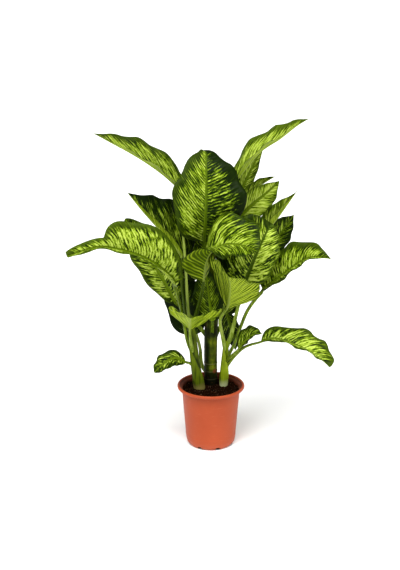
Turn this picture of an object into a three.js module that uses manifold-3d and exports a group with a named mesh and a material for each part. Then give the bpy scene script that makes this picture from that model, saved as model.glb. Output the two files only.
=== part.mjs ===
// Potted dieffenbachia: a bushy house plant with large waved leaves, in a round plastic nursery pot.
// Millimetres. The origin is the middle of the pot's flat bottom, +Z up, the front is towards -Y.
//
// Three stems stand in the soil: the old cane in the middle and a green shoot on each side.
// Every leaf is one solid of its own: a stalk, and a blade lofted along its midrib. The foot of the
// stalk is cut to the round of the stem that carries it.

import * as THREE from 'three';
import { mergeVertices } from 'three/addons/utils/BufferGeometryUtils.js';
import Module from 'manifold-3d';

const wasm = await Module();
wasm.setup();

// Clearance kept between neighbouring pieces.
const GAP = 0.3;

const POT_COLOUR = 0xc95c3a;
const SOIL_COLOUR = 0x2a1a12;
const LEAF_COLOUR = 0x6aa52c;

// Pot
const POT_HEIGHT = 196;
const RIM_RADIUS = 105;
const OPENING_RADIUS = 98;
const LIP_HEIGHT = 10;
const NECK_RADIUS = 91;
const BASE_RADIUS = 78;
const FOOT_RADIUS = 66;
const FOOT_HEIGHT = 16;
const POT_WALL = 2;
const POT_FLOOR = 3;
const POT_SIDES = 32;
const DRAINS = 8;
const DRAIN_TURN = 17;
const DRAIN_WIDTH = 13;
const DRAIN_HEIGHT = 6.5;
const DRAIN_LENGTH = 20;

// Soil
const SOIL_LEVEL = 178;
const SOIL_ROUGHNESS = 2.5;
const SOIL_RINGS = 4;
const SOIL_SIDES = 24;

// Stems: the points of each centre line, with the stem's radius there.
const STEM_SIDES = 10;
const STEM_STEP = 13;
const SCAR_EVERY = 2;
const SCAR_HEIGHT = 1.2;
const STEMS = {
  cane: {
    colour: 0x2c4a1c,
    line: [[0, 50, 120], [0, 50, 200], [0, 50, 320], [3, 48, 430], [5, 45, 540], [5, 50, 650]],
    radii: [20, 20.5, 21, 21, 12, 7],
    scarsUpTo: 270,
  },
  left_shoot: {
    colour: 0x6f9a2c,
    line: [[-32, 14, 120], [-36, 12, 180], [-46, 10, 240], [-54, 8, 310], [-60, 5, 370], [-60, 4, 408]],
    radii: [17, 18, 16.5, 14.5, 13, 9],
    scarsUpTo: 0,
  },
  right_shoot: {
    colour: 0x86b32e,
    line: [[41, 36, 120], [41, 34, 180], [43, 31, 235], [46, 28, 290], [47, 26, 330]],
    radii: [12, 13, 14, 12, 8],
    scarsUpTo: 0,
  },
};

// Leaves in general
const BLADE_THICKNESS = 1.0;
const RIDGE_DEPTH = 3;
const STALK_AT_STEM = 7;
const STALK_AT_BLADE = 4;
const STALK_STEPS = 5;
const ACROSS = [-1, -0.5, 0, 0.5, 1];
const ALONG = [0, 0.03, 0.09, 0.18, 0.27, 0.36, 0.45, 0.54, 0.63, 0.72, 0.81, 0.91, 1];
const SHAPE = [0.55, 1.1];
const SWEEP_AT_BASE = -0.05;
const SWEEP_GROWTH = 1.4;
const SWEEP_LIMIT = 0.4;
const CURL = 20;
const WAVE_DEPTH = 0.07;
const WAVES = 3.5;
const SCALLOP = 0.05;
const TIP_WIDTH = 1.2;
const TAIL_POWER = 0.25;
const NECK_SHARPNESS = 40;

// The waves start at another place on each leaf and on each half of it.
const WAVE_SHIFT_PER_LEAF = 2.4;
const WAVE_SHIFT_PER_HALF = 1.9;
const SCALLOP_SHIFT = 1;
const SWEEP_POWER = 1.5;
const CURVE_STEPS = 40;

// The stalk's section, in parts of its radius: a shallow channel above, round below.
const CHANNEL_FLOOR = 0.15;
const CHANNEL_RISE = 0.2;
const STALK_EDGE = 0.05;
const STALK_DEPTH = 1.15;

// Each leaf: the stem that it grows from, the points of its stalk from that stem's centre line on,
// the points of its midrib up to the tip, the direction in which its right half spreads, and for
// its left and right half the width and the angle in degrees at which it rises from the midrib.
// A leaf that twists also gives that direction and those angles at its tip. A leaf whose outline
// differs from SHAPE gives its own: how blunt the base is, and how sharp the tip is. One that
// differs from SWEEP_AT_BASE gives its own sweep. A neck is where along the blade it narrows all at
// once to a tail, and a tail is the least half width that it keeps towards its tip. A stalkWidth is
// half the width of a stalk that is thicker at its blade than STALK_AT_BLADE.
const LEAVES = {
  leaf_top_left: {
    stem: 'left_shoot',
    stalk: [[-61, 4, 380], [-68, -4, 440], [-74, -4, 550], [-80, 8, 640], [-88, 40, 730]],
    rib: [[-88, 62, 790], [-125, 62, 832], [-185, 47, 882], [-240, 30, 920], [-300, 10, 957], [-345, -5, 985]],
    right: [0, 1, 0],
    width: [46, 64],
    rise: [20, 50],
  },
  leaf_upper_left: {
    stem: 'left_shoot',
    stalk: [[-62, 10, 355], [-78, 20, 430], [-89, 18, 530]],
    rib: [[-90, 22, 600], [-125, 28, 648], [-168, 26, 700], [-207, 16, 748], [-250, 0, 808]],
    right: [0, 1, 0],
    width: [18, 96],
    rise: [70, 60],
    shape: [0.45, 1.2],
  },
  leaf_centre_tall: {
    stem: 'cane',
    stalk: [[5, 45, 510], [-12, 36, 555], [-26, 32, 605]],
    rib: [
      [-22, 25, 649], [-19, 8, 707], [-16, 2, 769], [-15, 10, 828], [-15, 32, 884],
      [-16, 60, 912], [-24, 88, 918], [-42, 112, 902],
    ],
    right: [1, 0, 0],
    width: [106, 116],
    rise: [22, 0],
    shape: [0.72, 1.7],
  },
  leaf_top_right: {
    stem: 'cane',
    stalk: [[5, 50, 640], [25, 62, 710]],
    rib: [[70, 80, 815], [100, 75, 860], [150, 65, 920], [205, 50, 960], [250, 30, 1000], [285, 15, 1025]],
    right: [0, -1, 0],
    width: [64, 50],
    rise: [36, 20],
  },
  leaf_upper_right_back: {
    stem: 'cane',
    stalk: [[5, 50, 625], [28, 105, 670]],
    rib: [[70, 150, 715], [95, 160, 780], [127, 165, 850], [163, 160, 925]],
    right: [1, 0, -0.4],
    width: [35, 26],
    rise: [10, 10],
  },
  leaf_right_narrow: {
    stem: 'cane',
    stalk: [[5, 48, 602], [50, 100, 655]],
    rib: [[90, 130, 725], [130, 132, 780], [165, 130, 810], [197, 120, 832]],
    right: [0, -1, 0],
    width: [30, 22],
    rise: [50, 30],
  },
  leaf_right_bright: {
    stem: 'cane',
    stalk: [[5, 45, 532], [50, 78, 618]],
    rib: [[84, 104, 700], [128, 104, 748], [170, 100, 785], [208, 88, 825]],
    right: [0.7, -0.2, -0.7],
    width: [42, 48],
    rise: [10, 10],
  },
  leaf_right_folded: {
    stem: 'cane',
    stalk: [[5, 45, 480], [75, 65, 570]],
    rib: [[160, 78, 655], [197, 70, 705], [232, 50, 762], [257, 30, 806]],
    right: [0, -1, 0],
    width: [44, 30],
    rise: [85, 40],
    shape: [0.5, 1.4],
  },
  leaf_right_centre: {
    stem: 'right_shoot',
    stalk: [[46, 26, 300], [63, 20, 352], [80, 6, 435]],
    rib: [[100, -17, 527], [120, -14, 582], [143, -6, 637], [165, 6, 682], [182, 16, 710]],
    right: [1, 0, -0.45],
    width: [122, 66],
    rise: [5, 10],
    shape: [0.52, 0.8],
    sweep: -0.3,
  },
  leaf_front_curled: {
    stem: 'left_shoot',
    stalk: [[-55, 1, 385], [-43, -13, 440], [-32, -30, 490]],
    rib: [[-22, -42, 545], [-15, -60, 605], [0, -78, 645], [40, -95, 672], [90, -120, 676], [130, -150, 668]],
    right: [-1, 0, 0],
    rightAtTip: [0, -1, 0],
    width: [94, 103],
    rise: [70, 10],
    riseAtTip: [60, -20],
    shape: [0.72, 0.8],
    sweep: -0.2,
  },
  leaf_left_arching: {
    stem: 'left_shoot',
    stalk: [[-52, 9, 285], [-70, 4, 335], [-82, -2, 402], [-94, -10, 465]],
    rib: [
      [-115, -25, 535], [-160, -45, 590], [-210, -60, 625], [-270, -75, 650],
      [-325, -95, 665], [-380, -110, 655], [-420, -125, 645],
    ],
    right: [0, 1, 0],
    width: [44, 98],
    rise: [20, 85],
    riseAtTip: [-5, 75],
    shape: [0.7, 1.45],
    neck: 0.67,
    stalkWidth: 6,
    tail: 38,
  },
  leaf_left_inner: {
    stem: 'cane',
    stalk: [[0, 50, 320], [-60, 45, 400]],
    rib: [[-110, 35, 455], [-140, 45, 510], [-180, 60, 575], [-220, 75, 635], [-265, 95, 705]],
    right: [1, 0, 0.5],
    width: [52, 72],
    rise: [10, 10],
    shape: [0.55, 0.8],
  },
  leaf_left_dark: {
    stem: 'cane',
    stalk: [[0, 50, 200], [-27, 62, 232], [-34, 68, 290]],
    rib: [[-45, 72, 335], [-65, 85, 385], [-80, 100, 455], [-95, 115, 555]],
    right: [1, 0, 0.2],
    width: [68, 58],
    rise: [10, 10],
  },
  leaf_front_left_low: {
    stem: 'left_shoot',
    stalk: [[-54, 8, 290], [-63, -16, 345]],
    rib: [[-65, -30, 388], [-62, -95, 432], [-60, -160, 468]],
    right: [-1, 0, 0],
    width: [96, 80],
    rise: [20, 34],
  },
  leaf_front_right_low: {
    stem: 'right_shoot',
    stalk: [[46, 27, 292], [37, 17, 345], [28, 10, 402]],
    rib: [[48, -35, 458], [52, -95, 509], [53, -155, 565], [48, -205, 608]],
    right: [-1, 0, 0],
    width: [90, 122],
    sweep: 0.25,
    rise: [5, 62],
  },
  leaf_inner_upright: {
    stem: 'cane',
    stalk: [[3, 49, 318], [4, 27, 362]],
    rib: [[4, 13, 400], [-5, 16, 465], [-12, 17, 525], [-16, 18, 575]],
    right: [1, 0, 0],
    width: [50, 44],
    rise: [10, 10],
  },
  leaf_right_dark: {
    stem: 'cane',
    stalk: [[4, 46, 440], [80, 85, 540]],
    rib: [[160, 105, 580], [195, 108, 625], [225, 105, 668], [255, 95, 717]],
    right: [1, 0, -0.6],
    width: [60, 38],
    rise: [10, 10],
  },
  leaf_right_large: {
    stem: 'right_shoot',
    stalk: [[44, 34, 264], [67, 32, 308], [90, 22, 378], [114, 15, 440]],
    rib: [[160, 10, 502], [205, 0, 540], [250, -20, 585], [290, -45, 618], [320, -70, 628], [350, -95, 630]],
    right: [0, -1, 0],
    width: [73, 44],
    rise: [52, 4],
    shape: [0.5, 1.1],
    stalkWidth: 6.5,
  },
  leaf_low_right: {
    stem: 'right_shoot',
    stalk: [[42, 31, 235], [70, 18, 280], [105, 0, 320]],
    rib: [[155, -10, 340], [195, -15, 350], [250, -30, 340], [295, -50, 325], [340, -70, 300], [360, -85, 285]],
    right: [0, -1, 0],
    width: [68, 55],
    rise: [38, 12],
    shape: [0.6, 0.7],
  },
  leaf_low_right_small: {
    stem: 'right_shoot',
    stalk: [[44, 30, 260], [68, -8, 298]],
    rib: [[85, -24, 322], [110, -29, 354], [130, -37, 374], [155, -45, 379]],
    right: [0, -1, 0],
    width: [38, 28],
    rise: [40, 0],
  },
  leaf_inner_drooping: {
    stem: 'cane',
    stalk: [[3, 48, 420], [35, 62, 425]],
    rib: [[50, 68, 405], [60, 80, 365], [75, 90, 315], [80, 90, 275]],
    right: [-1, 0, 0],
    width: [30, 35],
    rise: [10, 10],
  },
  leaf_low_left_small: {
    stem: 'left_shoot',
    stalk: [[-46, 10, 240], [-62, 5, 262]],
    rib: [[-80, 0, 270], [-110, -10, 285], [-140, -25, 280], [-175, -40, 250]],
    right: [0, 1, 0],
    width: [34, 34],
    rise: [-25, 35],
    shape: [0.6, 0.8],
  },
  leaf_back_centre: {
    stem: 'cane',
    stalk: [[5, 46, 550], [-6, 74, 575]],
    rib: [[-15, 95, 602], [-18, 128, 680], [-14, 185, 750], [-12, 248, 775]],
    right: [1, 0, 0],
    width: [50, 40],
    rise: [15, 15],
  },
  leaf_back_left: {
    stem: 'cane',
    stalk: [[5, 47, 465], [-20, 78, 480]],
    rib: [[-42, 90, 512], [-74, 112, 600], [-112, 160, 665], [-155, 225, 672]],
    right: [0.8, 0.6, 0],
    width: [62, 66],
    shape: [0.35, 0.9],
    rise: [15, 15],
  },
  leaf_back_right: {
    stem: 'cane',
    stalk: [[4, 46, 460], [35, 100, 530]],
    rib: [[70, 140, 590], [110, 185, 630], [155, 235, 645], [190, 280, 630]],
    right: [0.8, -0.6, 0],
    width: [60, 60],
    rise: [15, 15],
  },
  leaf_back_low_left: {
    stem: 'cane',
    stalk: [[2, 49, 400], [4, 90, 430]],
    rib: [[-15, 140, 450], [-45, 185, 457], [-72, 235, 445], [-92, 278, 415]],
    right: [0.9, 0.4, 0],
    width: [52, 52],
    rise: [15, 15],
  },
  leaf_back_low_right: {
    stem: 'cane',
    stalk: [[0, 50, 300], [25, 85, 345]],
    rib: [[38, 110, 375], [58, 160, 400], [75, 210, 400], [88, 255, 380]],
    right: [0.9, -0.3, 0],
    width: [45, 45],
    rise: [15, 15],
  },
};

// A point list as vectors.
function vectors(points) {
  return points.map((point) => new THREE.Vector3(...point));
}

// A closed geometry as a solid for joining and cutting.
function toSolid(geometry) {
  const bare = geometry.clone();
  bare.deleteAttribute('normal');
  bare.deleteAttribute('uv');
  const merged = mergeVertices(bare);
  return new wasm.Manifold(new wasm.Mesh({
    numProp: 3,
    vertProperties: merged.attributes.position.array,
    triVerts: new Uint32Array(merged.index.array),
  }));
}

// A solid back as a geometry.
function toGeometry(solid) {
  const mesh = solid.getMesh();
  const geometry = new THREE.BufferGeometry();
  geometry.setAttribute('position', new THREE.BufferAttribute(new Float32Array(mesh.vertProperties), 3));
  geometry.setIndex(new THREE.BufferAttribute(new Uint32Array(mesh.triVerts), 1));
  geometry.computeVertexNormals();
  return geometry;
}

function makeMesh(name, geometry, colour, roughness) {
  const material = new THREE.MeshStandardMaterial({ color: colour, roughness, metalness: 0 });
  const mesh = new THREE.Mesh(geometry, material);
  mesh.name = name;
  return mesh;
}

// A solid of round rings along a centre line, closed at both ends.
function tube(points, radii, grow, scarsUpTo) {
  const curve = new THREE.CatmullRomCurve3(vectors(points), false, 'centripetal');
  const steps = Math.round(curve.getLength() / STEM_STEP);
  const positions = [];
  const index = [];
  for (let step = 0; step <= steps; step += 1) {
    const ahead = curve.getTangentAt(step / steps);
    const centre = curve.getPointAt(step / steps);
    if (step === 0) centre.addScaledVector(ahead, -grow);
    const side = new THREE.Vector3(1, 0, 0).addScaledVector(ahead, -ahead.x).normalize();
    const up = new THREE.Vector3().crossVectors(ahead, side);
    const place = (step / steps) * (radii.length - 1);
    const from = Math.min(Math.floor(place), radii.length - 2);
    const scar = step % SCAR_EVERY === 0 && centre.z < scarsUpTo ? SCAR_HEIGHT : 0;
    const radius = THREE.MathUtils.lerp(radii[from], radii[from + 1], place - from) + scar + grow;
    for (let corner = 0; corner < STEM_SIDES; corner += 1) {
      const angle = (corner / STEM_SIDES) * Math.PI * 2;
      const point = centre.clone();
      point.addScaledVector(side, radius * Math.cos(angle));
      point.addScaledVector(up, radius * Math.sin(angle));
      positions.push(point.x, point.y, point.z);
    }
  }
  for (let step = 0; step < steps; step += 1) {
    for (let corner = 0; corner < STEM_SIDES; corner += 1) {
      const next = (corner + 1) % STEM_SIDES;
      const a = step * STEM_SIDES + corner;
      const b = step * STEM_SIDES + next;
      index.push(a, b, b + STEM_SIDES, a, b + STEM_SIDES, a + STEM_SIDES);
    }
  }
  const last = steps * STEM_SIDES;
  for (let corner = 1; corner < STEM_SIDES - 1; corner += 1) {
    index.push(0, corner + 1, corner);
    index.push(last, last + corner, last + corner + 1);
  }
  const geometry = new THREE.BufferGeometry();
  geometry.setAttribute('position', new THREE.Float32BufferAttribute(positions, 3));
  geometry.setIndex(index);
  return geometry;
}

function stemGeometry(name, grow) {
  const { line, radii, scarsUpTo } = STEMS[name];
  return tube(line, radii, grow, scarsUpTo);
}

// Part of the blade's full half width at a place along the midrib, from 0 at its base to 1 at its tip.
function outline(along, [roundness, sharpness]) {
  const widest = roundness / (roundness + sharpness);
  return (along / widest) ** roundness * ((1 - along) / (1 - widest)) ** sharpness;
}

// The rows of a leaf, from the foot of its stalk to its tip, each with its upper and under points.
function leafRows(leaf, number) {
  const curve = new THREE.CatmullRomCurve3(vectors([...leaf.stalk, ...leaf.rib]), false, 'centripetal');
  curve.arcLengthDivisions = CURVE_STEPS * (leaf.stalk.length + leaf.rib.length - 1);
  const lengths = curve.getLengths();
  const total = lengths[lengths.length - 1];
  const bladeStart = lengths[CURVE_STEPS * leaf.stalk.length] / total;
  const bladeLength = total * (1 - bladeStart);
  const rightAtBase = new THREE.Vector3(...leaf.right);
  const rightAtTip = new THREE.Vector3(...(leaf.rightAtTip ?? leaf.right));

  // The place and axes of the leaf at a fraction of its whole curve.
  function frame(fraction) {
    const whole = Math.min(fraction, 1);
    const turn = THREE.MathUtils.clamp((whole - bladeStart) / (1 - bladeStart), 0, 1);
    const centre = curve.getPointAt(whole);
    const ahead = curve.getTangentAt(whole);
    const side = rightAtBase.clone().lerp(rightAtTip, turn);
    side.addScaledVector(ahead, -side.dot(ahead)).normalize();
    const up = new THREE.Vector3().crossVectors(side, ahead);
    return { centre, side, up };
  }

  // One point across the stalk, whose upper face is hollowed to a channel.
  function stalkPoint(fraction, across, face) {
    const { centre, side, up } = frame(fraction);
    const thin = leaf.stalkWidth ?? STALK_AT_BLADE;
    const radius = THREE.MathUtils.lerp(STALK_AT_STEM, thin, fraction / bladeStart);
    const angle = across * Math.PI * 0.5;
    const channel = CHANNEL_FLOOR + CHANNEL_RISE * Math.abs(across);
    const height = face > 0 ? channel : STALK_EDGE - STALK_DEPTH * Math.cos(angle);
    return centre.addScaledVector(side, radius * Math.sin(angle)).addScaledVector(up, radius * height);
  }

  // One point across the blade.
  function bladePoint(along, across, face) {
    const half = across < 0 ? 0 : 1;
    const reach = Math.abs(across);
    const phase = number * WAVE_SHIFT_PER_LEAF + half * WAVE_SHIFT_PER_HALF;
    const scallop = 1 + SCALLOP * Math.sin(2 * Math.PI * WAVES * along + phase + SCALLOP_SHIFT);
    const least = THREE.MathUtils.lerp(leaf.stalkWidth ?? STALK_AT_BLADE, TIP_WIDTH, along);
    const tail = (leaf.tail ?? 0) * (1 - along) ** TAIL_POWER;
    const kept = leaf.neck ? 1 / (1 + Math.exp(NECK_SHARPNESS * (along - leaf.neck))) : 1;
    const wide = leaf.width[half] * outline(along, leaf.shape ?? SHAPE) * scallop * kept;
    const full = Math.max(wide, tail, least);
    const sweep = Math.min((leaf.sweep ?? SWEEP_AT_BASE) + SWEEP_GROWTH * along, SWEEP_LIMIT);
    const shift = (sweep * full * reach ** SWEEP_POWER) / bladeLength;
    const { centre, side, up } = frame(bladeStart + (1 - bladeStart) * (along + shift));
    const rise = THREE.MathUtils.degToRad(THREE.MathUtils.lerp(
      leaf.rise[half], (leaf.riseAtTip ?? leaf.rise)[half], along));
    const curl = THREE.MathUtils.degToRad(CURL);
    const start = rise + curl / 2;
    const out = (Math.sin(start) - Math.sin(start - curl * reach)) / curl;
    const high = (Math.cos(start - curl * reach) - Math.cos(start)) / curl;
    const sideways = across < 0 ? -out : out;
    const wave = WAVE_DEPTH * reach ** 2 * Math.sin(2 * Math.PI * WAVES * along + phase);
    const ridge = face < 0 && reach === 0 ? RIDGE_DEPTH * (1 - along) : 0;
    const slope = (start - curl * reach) * Math.sign(across);
    const skinDepth = face * BLADE_THICKNESS * 0.5;
    const lift = full * (high + wave * Math.cos(rise)) + skinDepth * Math.cos(slope) - ridge;
    const slide = full * (sideways - wave * Math.sin(rise) * Math.sign(across)) - skinDepth * Math.sin(slope);
    return centre.addScaledVector(side, slide).addScaledVector(up, lift);
  }

  const rows = [];
  for (let step = 0; step < STALK_STEPS; step += 1) {
    const fraction = (step / STALK_STEPS) * bladeStart;
    rows.push([1, -1].map((face) => ACROSS.map((across) => stalkPoint(fraction, across, face))));
  }
  ALONG.forEach((along) => {
    rows.push([1, -1].map((face) => ACROSS.map((across) => bladePoint(along, across, face))));
  });
  return rows;
}

// A closed skin over rows of points. Both faces are split into triangles alike.
function skin(rows) {
  const columns = rows[0][0].length;
  const positions = rows.flat(2).flatMap((point) => [point.x, point.y, point.z]);
  const at = (row, face, column) => (row * 2 + face) * columns + column;
  const index = [];
  const quad = (a, b, c, d) => index.push(a, b, c, a, c, d);
  for (let row = 0; row < rows.length - 1; row += 1) {
    const next = row + 1;
    for (let column = 0; column < columns - 1; column += 1) {
      const beside = column + 1;
      quad(at(row, 0, column), at(row, 0, beside), at(next, 0, beside), at(next, 0, column));
      index.push(at(row, 1, column), at(next, 1, beside), at(row, 1, beside));
      index.push(at(row, 1, column), at(next, 1, column), at(next, 1, beside));
    }
    const end = columns - 1;
    quad(at(row, 0, 0), at(next, 0, 0), at(next, 1, 0), at(row, 1, 0));
    quad(at(row, 0, end), at(row, 1, end), at(next, 1, end), at(next, 0, end));
  }
  const last = rows.length - 1;
  for (let column = 0; column < columns - 1; column += 1) {
    const beside = column + 1;
    quad(at(0, 0, column), at(0, 1, column), at(0, 1, beside), at(0, 0, beside));
    quad(at(last, 0, column), at(last, 0, beside), at(last, 1, beside), at(last, 1, column));
  }
  const geometry = new THREE.BufferGeometry();
  geometry.setAttribute('position', new THREE.Float32BufferAttribute(positions, 3));
  geometry.setIndex(index);
  return geometry;
}

// A profile of [radius, height] points, turned round the upright axis.
function turned(profile, sides) {
  const points = profile.map(([radius, height]) => new THREE.Vector2(radius, height));
  return new THREE.LatheGeometry(points, sides).rotateX(Math.PI / 2);
}

// The thin wall rises from a rounded foot to the neck, flares to the opening and rolls out to a lip.
// The small offsets round off the corners of this profile.
function potSolid() {
  const lipFoot = POT_HEIGHT - LIP_HEIGHT;
  const pot = toSolid(turned([
    [0, 0],
    [FOOT_RADIUS, 0],
    [FOOT_RADIUS + 6, 4],
    [BASE_RADIUS, FOOT_HEIGHT + 4],
    [NECK_RADIUS, lipFoot - 1],
    [RIM_RADIUS - 2, lipFoot],
    [RIM_RADIUS, lipFoot + 2.5],
    [RIM_RADIUS, POT_HEIGHT - 3],
    [RIM_RADIUS - 3, POT_HEIGHT],
    [OPENING_RADIUS, POT_HEIGHT - 2],
    [NECK_RADIUS - POT_WALL, lipFoot - 4],
    [BASE_RADIUS - POT_WALL, FOOT_HEIGHT + 4],
    [FOOT_RADIUS + 3, POT_FLOOR],
    [0, POT_FLOOR],
  ], POT_SIDES));
  const drains = [];
  for (let drain = 0; drain < DRAINS; drain += 1) {
    const turn = THREE.MathUtils.degToRad(DRAIN_TURN) + (drain / DRAINS) * Math.PI * 2;
    const box = new THREE.BoxGeometry(DRAIN_WIDTH, DRAIN_LENGTH, 2 * DRAIN_HEIGHT);
    box.translate(0, -FOOT_RADIUS - DRAIN_LENGTH / 2 + 2, 0).rotateZ(turn);
    drains.push(toSolid(box));
  }
  return drains.reduce((rest, drain) => rest.subtract(drain), pot);
}

// The soil fills the pot, with an uneven top and a plain hole for each stem. It keeps clear of the
// pot's wall at the middle of that wall's flat sides, where it is nearest.
function soilSolid() {
  const flats = Math.cos(Math.PI / POT_SIDES);
  const reach = (NECK_RADIUS - POT_WALL) * flats - 2 * GAP;
  const top = [];
  for (let ring = 0; ring <= SOIL_RINGS; ring += 1) {
    top.push([reach * (1 - ring / SOIL_RINGS), SOIL_LEVEL]);
  }
  const geometry = turned([
    [0, POT_FLOOR + GAP],
    [FOOT_RADIUS + 2, POT_FLOOR + GAP],
    [FOOT_RADIUS + 4, 8],
    [(BASE_RADIUS - POT_WALL) * flats - 2 * GAP, FOOT_HEIGHT + 6],
    ...top,
  ], SOIL_SIDES);
  const position = geometry.attributes.position;
  for (let point = 0; point < position.count; point += 1) {
    const x = position.getX(point);
    const y = position.getY(point);
    const bump = Math.sin(x * 0.17 + 1) * Math.cos(y * 0.13) + Math.sin(x * 0.09 - y * 0.21);
    if (position.getZ(point) === SOIL_LEVEL) position.setZ(point, SOIL_LEVEL + SOIL_ROUGHNESS * bump);
  }
  return stemClearances.reduce((rest, clearance) => rest.subtract(clearance), toSolid(geometry));
}

const stemNames = Object.keys(STEMS);
const stemClearances = stemNames.map((name) => toSolid(stemGeometry(name, GAP)));
const plant = new THREE.Group();

plant.add(makeMesh('pot', toGeometry(potSolid()), POT_COLOUR, 0.5));
plant.add(makeMesh('soil', toGeometry(soilSolid()), SOIL_COLOUR, 1));
stemNames.forEach((name) => {
  plant.add(makeMesh(name, toGeometry(toSolid(stemGeometry(name, 0))), STEMS[name].colour, 0.5));
});
Object.entries(LEAVES).forEach(([name, leaf], number) => {
  const clearance = stemClearances[stemNames.indexOf(leaf.stem)];
  const solid = toSolid(skin(leafRows(leaf, number))).subtract(clearance);
  plant.add(makeMesh(name, toGeometry(solid), LEAF_COLOUR, 0.4));
});

export default plant;
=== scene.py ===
"""Looks of the potted dieffenbachia: finer leaves, stems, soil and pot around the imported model.

Each leaf repeats the formulas of its CAD solid at a finer step, so it keeps that solid's form and place.
The tables are in millimetres, as in the CAD source, and the meshes are made in metres.
"""

import math

import bpy
import numpy as np
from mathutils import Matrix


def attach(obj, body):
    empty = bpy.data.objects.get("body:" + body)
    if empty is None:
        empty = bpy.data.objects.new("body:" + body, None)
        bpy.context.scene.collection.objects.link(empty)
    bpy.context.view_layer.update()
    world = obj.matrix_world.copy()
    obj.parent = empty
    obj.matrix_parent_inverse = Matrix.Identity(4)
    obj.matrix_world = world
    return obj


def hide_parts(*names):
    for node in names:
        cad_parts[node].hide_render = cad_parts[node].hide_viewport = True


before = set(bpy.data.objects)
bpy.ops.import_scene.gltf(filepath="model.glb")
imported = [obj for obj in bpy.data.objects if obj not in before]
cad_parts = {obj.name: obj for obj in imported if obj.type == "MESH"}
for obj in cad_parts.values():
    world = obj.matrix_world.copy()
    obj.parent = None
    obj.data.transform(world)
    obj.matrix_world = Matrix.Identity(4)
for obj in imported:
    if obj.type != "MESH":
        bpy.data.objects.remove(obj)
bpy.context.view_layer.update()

MM = 0.001
rng = np.random.default_rng(11)

# Sizes shared with the CAD source, in millimetres

POT_HEIGHT = 196
RIM_RADIUS = 105
OPENING_RADIUS = 98
LIP_HEIGHT = 10
NECK_RADIUS = 91
BASE_RADIUS = 78
FOOT_RADIUS = 66
FOOT_HEIGHT = 16
POT_WALL = 2
POT_FLOOR = 3
DRAINS = 8
DRAIN_TURN = 17
DRAIN_WIDTH = 13
DRAIN_HEIGHT = 6.5
DRAIN_LENGTH = 20
SOIL_LEVEL = 178
SOIL_ROUGHNESS = 2.5
STEM_STEP = 13
SCAR_EVERY = 2
SCAR_HEIGHT = 1.2

STEMS = {
    "cane": {
        "line": [[0, 50, 120], [0, 50, 200], [0, 50, 320], [3, 48, 430], [5, 45, 540], [5, 50, 650]],
        "radii": [20, 20.5, 21, 21, 12, 7],
        "scars_up_to": 270,
    },
    "left_shoot": {
        "line": [[-32, 14, 120], [-36, 12, 180], [-46, 10, 240], [-54, 8, 310], [-60, 5, 370], [-60, 4, 408]],
        "radii": [17, 18, 16.5, 14.5, 13, 9],
    },
    "right_shoot": {
        "line": [[41, 36, 120], [41, 34, 180], [43, 31, 235], [46, 28, 290], [47, 26, 330]],
        "radii": [12, 13, 14, 12, 8],
    },
}

BLADE_THICKNESS = 1.0
RIDGE_DEPTH = 3
STALK_AT_STEM = 7
SWEEP_GROWTH = 1.4
SWEEP_LIMIT = 0.4
SWEEP_POWER = 1.5
CURL = 20
WAVE_DEPTH = 0.07
WAVES = 3.5
SCALLOP = 0.05
SCALLOP_SHIFT = 1
TIP_WIDTH = 1.2
TAIL_POWER = 0.25
NECK_SHARPNESS = 40
WAVE_SHIFT_PER_LEAF = 2.4
WAVE_SHIFT_PER_HALF = 1.9
CHANNEL_FLOOR = 0.15
CHANNEL_RISE = 0.2
STALK_EDGE = 0.05
STALK_DEPTH = 1.15

# The form of a leaf, as in the CAD source, and its paint. A pair has a value for each of its halves.
#
# stalk, rib: points that its stalk and its midrib go through
# right: the direction of its second half, which can turn on the way to the tip
# width, rise: a half's width, and the angle at which it rises
# shape: how blunt its base and its tip are, where low numbers are blunt
# sweep: how far its halves lean forward at the base, or back where it is negative
# neck, tail: where it narrows to a long tip, and how wide that stays
# stalk_width: half the width of its stalk at the blade
# pale, under: how pale its top and its underside are, from 0 to about 1. These are partly the leaf's own tone
# and
# partly painted light and shade: paler where a half is lit and where light shines through its underside,
# darker where it lies in shade
# margin: how wide the plain margin of its top is
# slant: how far its side veins lean towards the tip
# tone: from 0 for a dark green stalk to 1 for a pale one
# streaks: how fine the streaks of its top are, and how strong
# stripes: how strong the stripes of its underside are
# rib_pale, rib_width: how pale and how wide its midrib is, where it isn't like the others
PLAIN_LEAF = dict(
    rise=10, shape=[0.55, 1.1], sweep=-0.05, tail=0, stalk_width=4, margin=8, under=0.5, slant=0.8,
    tone=0.5, streaks=(1.0, 2.1), stripes=0.06, rib_width=1.0,
)

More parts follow.
